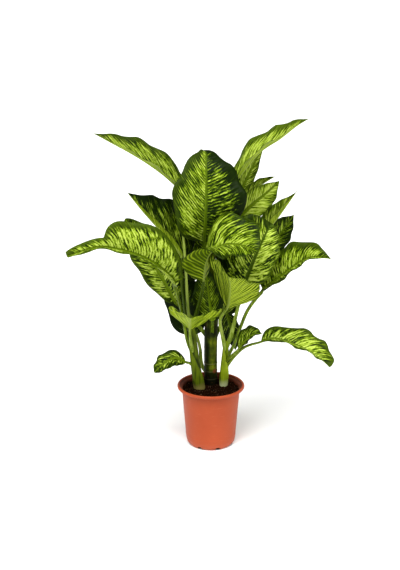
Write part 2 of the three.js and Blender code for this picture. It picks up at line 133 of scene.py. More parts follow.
LEAVES = {
    "leaf_top_left": dict(
        stalk=[[-61, 4, 380], [-68, -4, 440], [-74, -4, 550], [-80, 8, 640], [-88, 40, 730]],
        rib=[[-88, 62, 790], [-125, 62, 832], [-185, 47, 882], [-240, 30, 920], [-300, 10, 957],
             [-345, -5, 985]],
        right=[0, 1, 0], width=(46, 64), rise=(20, 50), pale=(0.68, 0.6), margin=(6, 9), under=0.6,
        slant=1.7, tone=1.2, streaks=(1.1, 2.5)),
    "leaf_upper_left": dict(
        stalk=[[-62, 10, 355], [-78, 20, 430], [-89, 18, 530]],
        rib=[[-90, 22, 600], [-125, 28, 648], [-168, 26, 700], [-207, 16, 748], [-250, 0, 808]],
        right=[0, 1, 0], width=(18, 96), rise=(70, 60), shape=[0.45, 1.2], pale=(0.44, 0.1), margin=(6, 8),
        under=(0.45, 0.5), slant=(1.6, 1.5), tone=0.05, streaks=(1.2, 2.6)),
    "leaf_centre_tall": dict(
        stalk=[[5, 45, 510], [-12, 36, 555], [-26, 32, 605]],
        rib=[[-22, 25, 649], [-19, 8, 707], [-16, 2, 769], [-15, 10, 828], [-15, 32, 884], [-16, 60, 912],
             [-24, 88, 918], [-42, 112, 902]],
        right=[1, 0, 0], width=(106, 116), rise=(22, 0), shape=[0.72, 1.7], pale=(0.58, 0.22),
        margin=(12, 18), slant=(0.6, -0.05), tone=0.05, streaks=(1.4, 1.7)),
    "leaf_top_right": dict(
        stalk=[[5, 50, 640], [25, 62, 710]],
        rib=[[70, 80, 815], [100, 75, 860], [150, 65, 920], [205, 50, 960], [250, 30, 1000],
             [285, 15, 1025]],
        right=[0, -1, 0], width=(64, 50), rise=(36, 20), pale=0.82, margin=(13, 7), under=0.6, slant=1.2),
    "leaf_upper_right_back": dict(
        stalk=[[5, 50, 625], [28, 105, 670]],
        rib=[[70, 150, 715], [95, 160, 780], [127, 165, 850], [163, 160, 925]],
        right=[1, 0, -0.4], width=(35, 26), pale=(0.88, 0.84), margin=5, under=0.6, slant=1.0),
    "leaf_right_narrow": dict(
        stalk=[[5, 48, 602], [50, 100, 655]],
        rib=[[90, 130, 725], [130, 132, 780], [165, 130, 810], [197, 120, 832]],
        right=[0, -1, 0], width=(30, 22), rise=(50, 30), pale=0.84, margin=3, slant=1.2),
    "leaf_right_bright": dict(
        stalk=[[5, 45, 532], [50, 78, 618]],
        rib=[[84, 104, 700], [128, 104, 748], [170, 100, 785], [208, 88, 825]],
        right=[0.7, -0.2, -0.7], width=(42, 48), pale=(1.05, 0.95), margin=4, under=0.6, streaks=(0.8, 1.4)),
    "leaf_right_folded": dict(
        stalk=[[5, 45, 480], [75, 65, 570]],
        rib=[[160, 78, 655], [197, 70, 705], [232, 50, 762], [257, 30, 806]],
        right=[0, -1, 0], width=(44, 30), rise=(85, 40), shape=[0.5, 1.4], pale=(0.7, 0.4), margin=(5, 7),
        under=(0.8, 0.5), slant=1.0),
    "leaf_right_centre": dict(
        stalk=[[46, 26, 300], [63, 20, 352], [80, 6, 435]],
        rib=[[100, -17, 527], [120, -14, 582], [143, -6, 637], [165, 6, 682], [182, 16, 710]],
        right=[1, 0, -0.45], width=(122, 66), rise=(5, 10), shape=[0.52, 0.8], sweep=-0.3, pale=(0.5, 0.82),
        margin=(9, 4), slant=0.5, tone=0.8, streaks=(1.2, 2.7), rib_pale=0.14),
    "leaf_front_curled": dict(
        stalk=[[-55, 1, 385], [-43, -13, 440], [-32, -30, 490]],
        rib=[[-22, -42, 545], [-15, -60, 605], [0, -78, 645], [40, -95, 672], [90, -120, 676],
             [130, -150, 668]],
        right=[-1, 0, 0], right_at_tip=[0, -1, 0], width=(94, 103), rise=(70, 10), rise_at_tip=(60, -20),
        shape=[0.72, 0.8], sweep=-0.2, pale=(0.56, 0.5), margin=(4, 5), under=(0.5, 0.16), slant=(0.3, 0.4),
        tone=0.05, streaks=(1.1, 1.9), stripes=0.16),
    "leaf_left_arching": dict(
        stalk=[[-52, 9, 285], [-70, 4, 335], [-82, -2, 402], [-94, -10, 465]],
        rib=[[-115, -25, 535], [-160, -45, 590], [-210, -60, 625], [-270, -75, 650], [-325, -95, 665],
             [-380, -110, 655], [-420, -125, 645]],
        right=[0, 1, 0], width=(44, 98), rise=(20, 85), rise_at_tip=(-5, 75), shape=[0.7, 1.45], neck=0.67,
        tail=38, stalk_width=6, pale=(0.8, 0.76), margin=(8, 12), under=0.6, slant=(0.3, 0.2),
        streaks=(0.9, 2.2), rib_width=1.7),
    "leaf_left_inner": dict(
        stalk=[[0, 50, 320], [-60, 45, 400]],
        rib=[[-110, 35, 455], [-140, 45, 510], [-180, 60, 575], [-220, 75, 635], [-265, 95, 705]],
        right=[1, 0, 0.5], width=(52, 72), shape=[0.55, 0.8], pale=0.66, margin=7, under=0.6, slant=0.4,
        streaks=(1.0, 2.5)),
    "leaf_left_dark": dict(
        stalk=[[0, 50, 200], [-27, 62, 232], [-34, 68, 290]],
        rib=[[-45, 72, 335], [-65, 85, 385], [-80, 100, 455], [-95, 115, 555]],
        right=[1, 0, 0.2], width=(68, 58), pale=(0.08, 0.12), margin=14, under=0.1, tone=0.8),
    "leaf_front_left_low": dict(
        stalk=[[-54, 8, 290], [-63, -16, 345]],
        rib=[[-65, -30, 388], [-62, -95, 432], [-60, -160, 468]],
        right=[-1, 0, 0], width=(96, 80), rise=(20, 34), pale=(0.66, 0.62), margin=6, under=0.6, slant=0.6,
        tone=0.8, stripes=0.1),
    "leaf_front_right_low": dict(
        stalk=[[46, 27, 292], [37, 17, 345], [28, 10, 402]],
        rib=[[48, -35, 458], [52, -95, 509], [53, -155, 565], [48, -205, 608]],
        right=[-1, 0, 0], width=(90, 122), rise=(5, 62), sweep=0.25, pale=0.7, margin=6, under=(0.62, 0.24),
        slant=0.5, tone=0.8, stripes=0.34),
    "leaf_inner_upright": dict(
        stalk=[[3, 49, 318], [4, 27, 362]],
        rib=[[4, 13, 400], [-5, 16, 465], [-12, 17, 525], [-16, 18, 575]],
        right=[1, 0, 0], width=(50, 44), pale=(0.44, 0.36), margin=6, slant=0.9, tone=0.05,
        streaks=(1.2, 1.2)),
    "leaf_right_dark": dict(
        stalk=[[4, 46, 440], [80, 85, 540]],
        rib=[[160, 105, 580], [195, 108, 625], [225, 105, 668], [255, 95, 717]],
        right=[1, 0, -0.6], width=(60, 38), pale=(0.38, 0.3), margin=7, under=0.4),
    "leaf_right_large": dict(
        stalk=[[44, 34, 264], [67, 32, 308], [90, 22, 378], [114, 15, 440]],
        rib=[[160, 10, 502], [205, 0, 540], [250, -20, 585], [290, -45, 618], [320, -70, 628],
             [350, -95, 630]],
        right=[0, -1, 0], width=(73, 44), rise=(52, 4), shape=[0.5, 1.1], stalk_width=6.5, pale=(0.66, 0.64),
        margin=(11, 6), under=0.6, slant=(0.2, 0.1), streaks=(0.9, 2.0)),
    "leaf_low_right": dict(
        stalk=[[42, 31, 235], [70, 18, 280], [105, 0, 320]],
        rib=[[155, -10, 340], [195, -15, 350], [250, -30, 340], [295, -50, 325], [340, -70, 300],
             [360, -85, 285]],
        right=[0, -1, 0], width=(68, 55), rise=(38, 12), shape=[0.6, 0.7], pale=(0.74, 0.72), margin=(9, 8),
        under=0.6, slant=0.2),
    "leaf_low_right_small": dict(
        stalk=[[44, 30, 260], [68, -8, 298]],
        rib=[[85, -24, 322], [110, -29, 354], [130, -37, 374], [155, -45, 379]],
        right=[0, -1, 0], width=(38, 28), rise=(40, 0), pale=(0.52, 0.5), margin=6, streaks=(1.5, 2.4)),
    "leaf_inner_drooping": dict(
        stalk=[[3, 48, 420], [35, 62, 425]],
        rib=[[50, 68, 405], [60, 80, 365], [75, 90, 315], [80, 90, 275]],
        right=[-1, 0, 0], width=(30, 35), pale=0.28, margin=7, under=0.3),
    "leaf_low_left_small": dict(
        stalk=[[-46, 10, 240], [-62, 5, 262]],
        rib=[[-80, 0, 270], [-110, -10, 285], [-140, -25, 280], [-175, -40, 250]],
        right=[0, 1, 0], width=34, rise=(-25, 35), shape=[0.6, 0.8], pale=(0.5, 0.54), slant=0.4,
        streaks=(1.7, 2.6)),
    "leaf_back_centre": dict(
        stalk=[[5, 46, 550], [-6, 74, 575]],
        rib=[[-15, 95, 602], [-18, 128, 680], [-14, 185, 750], [-12, 248, 775]],
        right=[1, 0, 0], width=(50, 40), rise=15, pale=0.55),
    "leaf_back_left": dict(
        stalk=[[5, 47, 465], [-20, 78, 480]],
        rib=[[-42, 90, 512], [-74, 112, 600], [-112, 160, 665], [-155, 225, 672]],
        right=[0.8, 0.6, 0], width=(62, 66), rise=15, shape=[0.35, 0.9], pale=0.45),
    "leaf_back_right": dict(
        stalk=[[4, 46, 460], [35, 100, 530]],
        rib=[[70, 140, 590], [110, 185, 630], [155, 235, 645], [190, 280, 630]],
        right=[0.8, -0.6, 0], width=60, rise=15, pale=0.6),
    "leaf_back_low_left": dict(
        stalk=[[2, 49, 400], [4, 90, 430]],
        rib=[[-15, 140, 450], [-45, 185, 457], [-72, 235, 445], [-92, 278, 415]],
        right=[0.9, 0.4, 0], width=52, rise=15, pale=0.4),
    "leaf_back_low_right": dict(
        stalk=[[0, 50, 300], [25, 85, 345]],
        rib=[[38, 110, 375], [58, 160, 400], [75, 210, 400], [88, 255, 380]],
        right=[0.9, -0.3, 0], width=45, rise=15, pale=0.45),
}

# Detail that only this script adds, in millimetres and degrees

SPAN_STEPS = 60
STALK_ROWS = 26
BLADE_ROWS = 170
BLADE_COLUMNS = 12
CROWD_AT_BASE = 1.2
CROWD_AT_TIP = 1.1
CROWD_AT_RIB = 1.15
RIDGE_WIDTH = 3.2
GROOVE_DEPTH = 0.7
VEIN_SPACING = 8.5
UNDER_SPACING = 10.0
QUILT_SPACING = 15.0
QUILT_DEPTH = 0.7
QUILT_SHIFT_PER_HALF = 3
RIPPLE_DEPTH = 0.010
RIPPLES = 10.5
RIPPLE_SHIFT = 1.7
MARGIN_THINNING = 0.5
MARGIN_SPAN = 42
MARGIN_ON_STALK = 60
MARGIN_AT_TIP = 0.6
STALK_SPAN = 5
HALF_MARK = 40
CHART_WIDTH = 0.49
CHART_STALK = 0.4
CHART_BLADE = 0.15

STEM_SIDES = 48
STEM_ROW = 1.6
STEM_RIBS = ((0.22, 7, 0.02), (0.25, 3, 0.011))
SCAR_WIDTH = 1.8
FAINT_SCARS = 0.3
SHEATH_DEPTH = 1.5
SHEATH_PITCH = 150
SHEATH_START = 0.6
SHEATH_MIDDLE = 0.4

POT_SIDES = 180
POT_BAND = 34
CORNER_RADIUS = 1.6
CORNER_SHARE = 0.42
DRAIN_ARCH = 3
DRAIN_INSET = 2
SHARP_ANGLE = 40

SOIL_RINGS = 70
SOIL_SIDES = 220
SOIL_LUMPS = 0.55
CRUMBS = 1500
CRUMB_EDGE = 4
CRUMB_SIZES = (0.7, 1.6)
BIG_CRUMBS = 0.12
BIG_CRUMB = 1.7
CRUMB_STRETCH = ((1, 2.1), (0.7, 1.1), (0.5, 0.8))
CRUMB_TIP = 0.5
CRUMB_UNEVEN = 0.25
CRUMB_LIFT = 0.2

# Curves


def catmull_rom(points):
    """Places along a centripetal Catmull-Rom curve, SPAN_STEPS to each span."""
    given = np.array(points, float)
    padded = np.vstack([2 * given[0] - given[1], given, 2 * given[-1] - given[-2]])
    share = np.arange(SPAN_STEPS)[:, None] / SPAN_STEPS
    spans = []
    for start in range(len(given) - 1):
        p0, p1, p2, p3 = padded[start:start + 4]
        d0, d1, d2 = (np.linalg.norm(b - a) ** 0.5 for a, b in ((p0, p1), (p1, p2), (p2, p3)))
        leave = ((p1 - p0) / d0 - (p2 - p0) / (d0 + d1) + (p2 - p1) / d1) * d1
        arrive = ((p2 - p1) / d1 - (p3 - p1) / (d1 + d2) + (p3 - p2) / d2) * d1
        square = -3 * p1 + 3 * p2 - 2 * leave - arrive
        cube = 2 * p1 - 2 * p2 + leave + arrive
        spans.append(p1 + leave * share + square * share ** 2 + cube * share ** 3)
    return np.vstack(spans + [given[-1:]])


def unit(vectors):
    return vectors / np.linalg.norm(vectors, axis=-1, keepdims=True)


class Path:
    """A smooth line through points, read off by the fraction of its length."""

    def __init__(self, points):
        self.points = catmull_rom(points)
        steps = np.linalg.norm(np.diff(self.points, axis=0), axis=1)
        self.reach = np.concatenate([[0], np.cumsum(steps)])
        self.length = self.reach[-1]
        self.slopes = np.gradient(self.points, self.reach, axis=0)

    def at(self, fraction):
        """The places and the directions at an array of fractions."""
        where = np.clip(fraction, 0, 1) * self.length
        centre, ahead = (np.stack([np.interp(where, self.reach, values[:, k]) for k in range(3)], -1)
                         for values in (self.points, self.slopes))
        return centre, unit(ahead)


# Meshes


def rotation(angle, first, second):
    """A rotation by an angle, from one axis to another."""
    made = np.eye(3)
    made[first, first] = made[second, second] = math.cos(angle)
    made[first, second] = math.sin(angle)
    made[second, first] = -math.sin(angle)
    return made


def new_object(name, verts, faces, slot, *materials):
    """A smooth mesh from points in millimetres, which rides on the plant's one body."""
    mesh = bpy.data.meshes.new(name)
    for material in materials:
        mesh.materials.append(material)
    mesh.from_pydata([tuple(v) for v in np.asarray(verts) * MM], [], faces)
    mesh.update()
    mesh.polygons.foreach_set("use_smooth", np.ones(len(mesh.polygons), bool))
    made = bpy.data.objects.new(name, mesh)
    bpy.context.scene.collection.objects.link(made)
    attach(made, "root")
    return made


def stacked(*values):
    """Rows and columns of values spread over one grid and put together as points."""
    return np.stack(np.broadcast_arrays(*values), -1)


def grid_faces(rows, columns, start=0, flip=False, closed=False):
    """The four-sided faces between the points of a grid, row by row."""
    last = columns if closed else columns - 1
    row, column = np.meshgrid(np.arange(rows - 1), np.arange(last), indexing="ij")
    beside = (column + 1) % columns
    a = start + row * columns + column
    b = start + row * columns + beside
    c = start + (row + 1) * columns + beside
    d = start + (row + 1) * columns + column
    order = (a, d, c, b) if flip else (a, b, c, d)
    return np.stack(order, -1).reshape(-1, 4).tolist()


def tube_faces(rows, sides):
    """The faces of a tube from its lowest ring of points up, with both ends closed."""
    last = (rows - 1) * sides
    ends = [list(range(sides))[::-1], list(range(last, last + sides))]
    return grid_faces(rows, sides, closed=True) + ends


def circle(sides):
    """The angles of evenly spaced points round a circle, as one row."""
    return np.linspace(0, 2 * np.pi, sides, endpoint=False)[None, :]


def turned_points(profile, angle):
    """A profile of [radius, height] points turned to each angle, row by row."""
    radius, height = np.array(profile)[:, :1], np.array(profile)[:, 1:]
    return stacked(radius * np.cos(angle), radius * np.sin(angle), height)


def set_attribute(made, name, kind, values):
    """Stores a number or a vector on each point of a mesh, for its material."""
    attribute = made.data.attributes.new(name, kind, "POINT")
    key = "value" if kind == "FLOAT" else "vector"
    attribute.data.foreach_set(key, np.asarray(values, np.float32).ravel())


# Leaves


def outline(along, roundness, sharpness):
    """Part of the full half width at places from the base of a blade, 0, to its tip, 1."""
    widest = roundness / (roundness + sharpness)
    return (along / widest) ** roundness * ((1 - along) / (1 - widest)) ** sharpness


def both(value):
    """A value for each half of a leaf. A single one counts for both."""
    return value if isinstance(value, tuple) else (value, value)


def of_half(half, value):
    """The value that belongs to each point's half."""
    return np.where(half == 0, *both(value))


class Leaf:
    """One leaf: the line through its stalk and midrib, and points across it."""

    def __init__(self, number, leaf):
        self.leaf = leaf
        self.number = number
        self.path = Path(leaf["stalk"] + leaf["rib"])
        self.start = self.path.reach[SPAN_STEPS * len(leaf["stalk"])] / self.path.length
        self.blade_length = self.path.length * (1 - self.start)
        self.thin = leaf["stalk_width"]

    def frame(self, fraction):
        """The place and the two cross directions at an array of fractions of the whole line."""
        centre, ahead = self.path.at(fraction)
        turn = np.clip((fraction - self.start) / (1 - self.start), 0, 1)[..., None]
        at_base = np.array(self.leaf["right"], float)
        at_tip = np.array(self.leaf.get("right_at_tip", self.leaf["right"]), float)
        side = at_base + (at_tip - at_base) * turn
        side = unit(side - (side * ahead).sum(-1, keepdims=True) * ahead)
        return centre, side, np.cross(side, ahead)

    def stalk(self, fraction, across, face):
        """Points across the stalk, whose upper face is hollowed to a channel."""
        centre, side, up = self.frame(fraction + 0 * across)
        radius = STALK_AT_STEM + (self.thin - STALK_AT_STEM) * fraction / self.start
        angle = across * math.pi / 2
        channel = CHANNEL_FLOOR + CHANNEL_RISE * np.abs(across) ** 1.5
        height = channel if face > 0 else STALK_EDGE - STALK_DEPTH * np.cos(angle)
        slide = (radius * np.sin(angle))[..., None]
        lift = (radius * height)[..., None]
        return centre + side * slide + up * lift

    def phase(self, half):
        """Where the waves of each half begin."""
        return self.number * WAVE_SHIFT_PER_LEAF + half * WAVE_SHIFT_PER_HALF

    def half_width(self, along, half):
        """The full width of a half in millimetres, as in the CAD."""
        scallop = 1 + SCALLOP * np.sin(2 * np.pi * WAVES * along + self.phase(half) + SCALLOP_SHIFT)
        least = self.thin + (TIP_WIDTH - self.thin) * along
        widths = of_half(half, self.leaf["width"]) * outline(along, *self.leaf["shape"]) * scallop
        if "neck" in self.leaf:
            widths = widths * (1 / (1 + np.exp(NECK_SHARPNESS * (along - self.leaf["neck"]))))
        tail = self.leaf["tail"] * (1 - along) ** TAIL_POWER
        return np.maximum(np.maximum(widths, tail), least)

    def blade(self, along, across, face):
        """Points across the blade."""
        along, across = np.broadcast_arrays(along, across)
        half = np.where(across < 0, 0, 1)
        sign = np.sign(across)
        reach = np.abs(across)
        phase = self.phase(half)
        full = self.half_width(along, half)
        sweep = np.minimum(self.leaf["sweep"] + SWEEP_GROWTH * along, SWEEP_LIMIT)
        shift = sweep * full * reach ** SWEEP_POWER / self.blade_length
        centre, side, up = self.frame(self.start + (1 - self.start) * (along + shift))
        low = of_half(half, self.leaf["rise"])
        high = of_half(half, self.leaf.get("rise_at_tip", self.leaf["rise"]))
        rise = np.radians(low + (high - low) * along)
        curl = math.radians(CURL)
        begin = rise + curl / 2
        out = (np.sin(begin) - np.sin(begin - curl * reach)) / curl
        top = (np.cos(begin - curl * reach) - np.cos(begin)) / curl
        wave = WAVE_DEPTH * reach ** 2 * np.sin(2 * np.pi * WAVES * along + phase)
        ripple = np.sin(2 * np.pi * RIPPLES * along + RIPPLE_SHIFT * phase)
        wave = wave + RIPPLE_DEPTH * reach ** 4 * ripple
        distance = reach * full
        foot = along * self.blade_length - distance * of_half(half, self.leaf["slant"])
        veins = 2 * np.pi * foot / QUILT_SPACING + QUILT_SHIFT_PER_HALF * half
        quilt = QUILT_DEPTH * np.sin(veins) * np.clip(4 * reach * (1 - reach), 0, 1)
        middle = np.exp(-(distance / RIDGE_WIDTH) ** 2)
        ridge = RIDGE_DEPTH * (1 - along) * middle if face < 0 else GROOVE_DEPTH * middle
        slope = (begin - curl * reach) * sign
        thickness = BLADE_THICKNESS * (1 - MARGIN_THINNING * reach ** 3)
        depth = face * thickness * 0.5 + quilt - ridge
        lift = full * (top + wave * np.cos(rise)) + depth * np.cos(slope)
        slide = full * (out * sign - wave * np.sin(rise) * sign) - depth * np.sin(slope)
        return centre + side * slide[..., None] + up * lift[..., None]


def leaf_faces(rows, columns):
    """The faces of a leaf: its upper face, its underside, and a strip all round between them."""
    under = rows * columns
    faces = grid_faces(rows, columns) + grid_faces(rows, columns, under, flip=True)
    for row in range(rows - 1):
        left, right = row * columns, row * columns + columns - 1
        faces.append([left, left + columns, under + left + columns, under + left])
        faces.append([right, under + right, under + right + columns, right + columns])
    last = (rows - 1) * columns
    for column in range(columns - 1):
        faces.append([column, under + column, under + column + 1, column + 1])
        a, b = last + column, last + column + 1
        faces.append([a, b, under + b, under + a])
    return faces


def chart_leaf(made, across, length):
    """Lays a leaf out flat: its upper face in the left half of the square, its underside in the right."""
    chart = stacked((across + 1) / 2, length).reshape(-1, 2) * [CHART_WIDTH, 1]
    chart = np.concatenate([chart, chart + [1 - CHART_WIDTH, 0]])
    corner = np.zeros(len(made.data.loops), np.int32)
    made.data.loops.foreach_get("vertex_index", corner)
    layer = made.data.uv_layers.new(name="leaf")
    layer.data.foreach_set("uv", chart[corner].astype(np.float32).ravel())


def build_leaf(name, number, leaf):
    """A closed leaf: upper face, underside and stalk, with the places of its veins stored on it."""
    shape = Leaf(number, leaf)
    spread = np.linspace(0, 1, BLADE_COLUMNS + 1) ** CROWD_AT_RIB
    across = np.concatenate([-spread[:0:-1], spread])[None, :]
    stalk = np.linspace(0, 1, STALK_ROWS, endpoint=False)[:, None] * shape.start
    along = np.linspace(0, 1, BLADE_ROWS)[:, None] ** CROWD_AT_BASE
    along = 1 - (1 - along) ** CROWD_AT_TIP
    columns = across.shape[1]
    rows = STALK_ROWS + BLADE_ROWS
    verts = np.concatenate([part for face in (1, -1)
                            for part in (shape.stalk(stalk, across, face), shape.blade(along, across, face))])
    metres = shape.blade_length * MM
    skins = (leaf_top(name + "_top", number, leaf, metres), leaf_under(name + "_under", number, leaf, metres),
             stalk_skins[leaf["tone"]])
    made = new_object(name + "_fine", verts.reshape(-1, 3), leaf_faces(rows, columns), "leaf", *skins)

    half = np.where(across < 0, 0, 1)
    full = shape.half_width(along, half)
    length = shape.path.length
    place = stacked(along * shape.blade_length, np.abs(across) * full, half * HALF_MARK)
    stalk_place = stacked(stalk * length - length * shape.start, np.abs(across) * STALK_SPAN, 0)
    one_face = np.concatenate([stalk_place, place]) * MM
    set_attribute(made, "vein_place", "FLOAT_VECTOR", np.concatenate([one_face, one_face]))
    margin = (1 - np.abs(across)) * np.maximum(full, MARGIN_SPAN)
    margin = np.minimum(margin, (1 - along) * shape.blade_length * MARGIN_AT_TIP)
    margin = np.concatenate([np.full((STALK_ROWS, columns), MARGIN_ON_STALK), margin]) * MM
    set_attribute(made, "margin", "FLOAT", np.concatenate([margin, margin]))
    chart_leaf(made, across, np.concatenate([stalk * CHART_STALK, CHART_BLADE + (1 - CHART_BLADE) * along]))

    count = (rows - 1) * (columns - 1)
    stalk_count = STALK_ROWS * (columns - 1)
    index = np.zeros(len(made.data.polygons), np.int32)
    index[count:2 * count] = 1
    for start, faces in ((0, stalk_count), (count, stalk_count), (2 * count, 2 * STALK_ROWS)):
        index[start:start + faces] = 2
    made.data.polygons.foreach_set("material_index", index)
    made.data.update()
    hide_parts(name)


# Materials


class Value:
    """An output of a node. Arithmetic on it adds Math nodes."""

    def __init__(self, nodes, socket):
        self.nodes = nodes
        self.socket = socket

    def __add__(self, other):
        return self.nodes.maths("ADD", self, other)

    def __sub__(self, other):
        return self.nodes.maths("SUBTRACT", self, other)

    def __mul__(self, other):
        return self.nodes.maths("MULTIPLY", self, other)


class Nodes:
    """A node tree while it is being made."""

    def __init__(self, tree):
        self.tree = tree

    def plug(self, socket, value):
        """Links a socket to an output, or sets it to a plain value."""
        if isinstance(value, Value):
            self.tree.links.new(value.socket, socket)
        else:
            socket.default_value = value

    def add(self, kind, output, inputs, **settings):
        """Adds a node with its settings and inputs, and gives one of its outputs."""
        made = self.tree.nodes.new("ShaderNode" + kind)
        for key, value in settings.items():
            setattr(made, key, value)
        for key, value in inputs.items():
            self.plug(made.inputs[key], value)
        return Value(self, made.outputs[output])

    def maths(self, operation, a, b=0):
        return self.add("Math", 0, {0: a, 1: b}, operation=operation)

    def stored(self, name, output="Fac"):
        """What the mesh stores on its points under a name."""
        return self.add("Attribute", output, {}, attribute_name=name)

    def position(self):
        return self.add("NewGeometry", "Position", {})

    def join(self, x, y, z):
        return self.add("CombineXYZ", 0, {0: x, 1: y, 2: z})

    def split(self, vector):
        first = self.add("SeparateXYZ", 0, {0: vector})
        return [Value(self, output) for output in first.socket.node.outputs]

    def noise(self, place, scale=1, detail=2, roughness=0.5):
        """Noise over places, given as vectors or as three numbers."""
        place = self.join(*place) if isinstance(place, tuple) else place
        inputs = {"Vector": place, "Scale": scale, "Detail": detail, "Roughness": roughness}
        return self.add("TexNoise", "Fac", inputs)

    def step(self, value, low, high, to_low=0, to_high=1):
        """A smooth step from one value to another as the input goes from low to high."""
        inputs = {"Value": value, "From Min": low, "From Max": high, "To Min": to_low, "To Max": to_high}
        return self.add("MapRange", 0, inputs, interpolation_type="SMOOTHSTEP")

    def mix(self, factor, colour, other):
        """A colour that gives way to another, as far as the factor says."""
        other = (*other, 1) if isinstance(other, tuple) else other
        return self.add("Mix", 2, {0: factor, 6: colour, 7: other}, data_type="RGBA")

    def ramp(self, value, stops):
        """Colours between stops, each a place on the ramp with its colour."""
        made = self.add("ValToRGB", "Color", {0: value})
        marks = made.socket.node.color_ramp.elements
        while len(marks) < len(stops):
            marks.new(0.5)
        for mark, (place, colour) in zip(marks, stops):
            mark.position = place
            mark.color = (*colour, 1)
        return made


class Shader(Nodes):
    """The nodes of a new material."""

    def __init__(self, name):
        self.material = bpy.data.materials.new(name)
        self.material.use_nodes = True
        super().__init__(self.material.node_tree)
        self.tree.nodes.clear()
        out = self.tree.nodes.new("ShaderNodeOutputMaterial")
        self.surface = self.tree.nodes.new("ShaderNodeBsdfPrincipled")
        self.tree.links.new(self.surface.outputs[0], out.inputs["Surface"])

    def finish(self, colour, roughness, gloss, height=None, relief=0, strength=1):
        """Fills in the surface, with bumps of a relief in metres, and gives the material."""
        for key, value in (("Base Color", colour), ("Roughness", roughness), ("Specular IOR Level", gloss)):
            self.plug(self.surface.inputs[key], value)
        if height is not None:
            bump = self.add("Bump", 0, {"Strength": strength, "Distance": relief, "Height": height})
            self.plug(self.surface.inputs["Normal"], bump)
        return self.material


PATCH_SHARE = 0.36
SPECK_SHARE = 0.24
WAVE_SHARE = 0.10
PALE_SHARE = 0.44
PALE_MIDDLE = 0.56
MARGIN_FADE = 0.30
SLANT_AT_TIP = 0.6
SEED_PER_LEAF = 5.3
SEED_PER_HALF = 10

LEAF_GLOSS = 0.05
STALK_GLOSS = 0.12
CANE_GLOSS = 0.07
SHOOT_GLOSS = 0.08
POT_GLOSS = 0.20
DRY_GLOSS = 0.01
FLOOR_GLOSS = 0.5

DARK = (0.0045, 0.0120, 0.0004)
DEEP = (0.026, 0.052, 0.0010)
GREEN = (0.090, 0.142, 0.0030)
LIME = (0.215, 0.310, 0.014)
PALE_LIME = (0.430, 0.530, 0.090)
MARGIN_DARK = (0.013, 0.027, 0.0006)
MARGIN_GREEN = (0.060, 0.098, 0.0035)
RIB_GREEN = (0.120, 0.185, 0.004)
UNDER_DARK = (0.050, 0.085, 0.0016)
UNDER_GREEN = (0.190, 0.270, 0.006)
UNDER_PALE = (0.355, 0.445, 0.036)
STALK_GREEN = (0.050, 0.085, 0.0010)
STALK_MIDDLE = (0.125, 0.185, 0.0050)
STALK_PALE = (0.260, 0.330, 0.060)

# In metres: how far the veins wander, how ragged the margin is, and the midrib's width at base and tip.
VEIN_DRIFT = 0.012
MARGIN_RAGS = 0.018
RIB_WIDTHS = (0.0052, 0.0014)
UNDER_RIB_WIDTHS = (0.0046, 0.0014)


class Veins:
    """Where a point lies on a leaf: along the midrib, out from it, along its vein, and on which half."""

    def __init__(self, s, number, leaf, length):
        self.s = s
        self.length = length
        self.x, self.y, mark = s.split(s.stored("vein_place", "Vector"))
        self.half = mark * (1 / (HALF_MARK * MM))
        self.seed = self.half * SEED_PER_HALF + number * SEED_PER_LEAF
        to_tip = s.maths("POWER", s.maths("DIVIDE", self.x, length), 2)
        slant = self.of_halves(leaf["slant"]) + to_tip * SLANT_AT_TIP
        self.vein = self.x - self.y * slant + self.clouds(25) * VEIN_DRIFT

    def of_halves(self, value):
        first, second = both(value)
        return self.half * (second - first) + first

    def streaks(self, across, along, detail=2, roughness=0.5, shift=0):
        """Noise drawn out along the veins, with its two scales per metre."""
        place = (self.vein * across, self.y * along, self.seed + shift)
        return self.s.noise(place, 1, detail, roughness)

    def clouds(self, scale, detail=2, shift=0, out=None):
        """Even noise, with its scale per metre along the leaf and, where it differs, out from the midrib."""
        return self.s.noise((self.x * scale, self.y * (out or scale), self.seed + shift), 1, detail)

    def waves(self, spacing):
        """A wave across the side veins, with its spacing in millimetres."""
        return self.s.maths("SINE", self.vein * (2 * math.pi / (spacing * MM)))

    def past_rib(self, widths):
        """How far a point lies out from the edge of the midrib, in metres."""
        return self.y - self.s.step(self.x, 0, self.length, *widths)


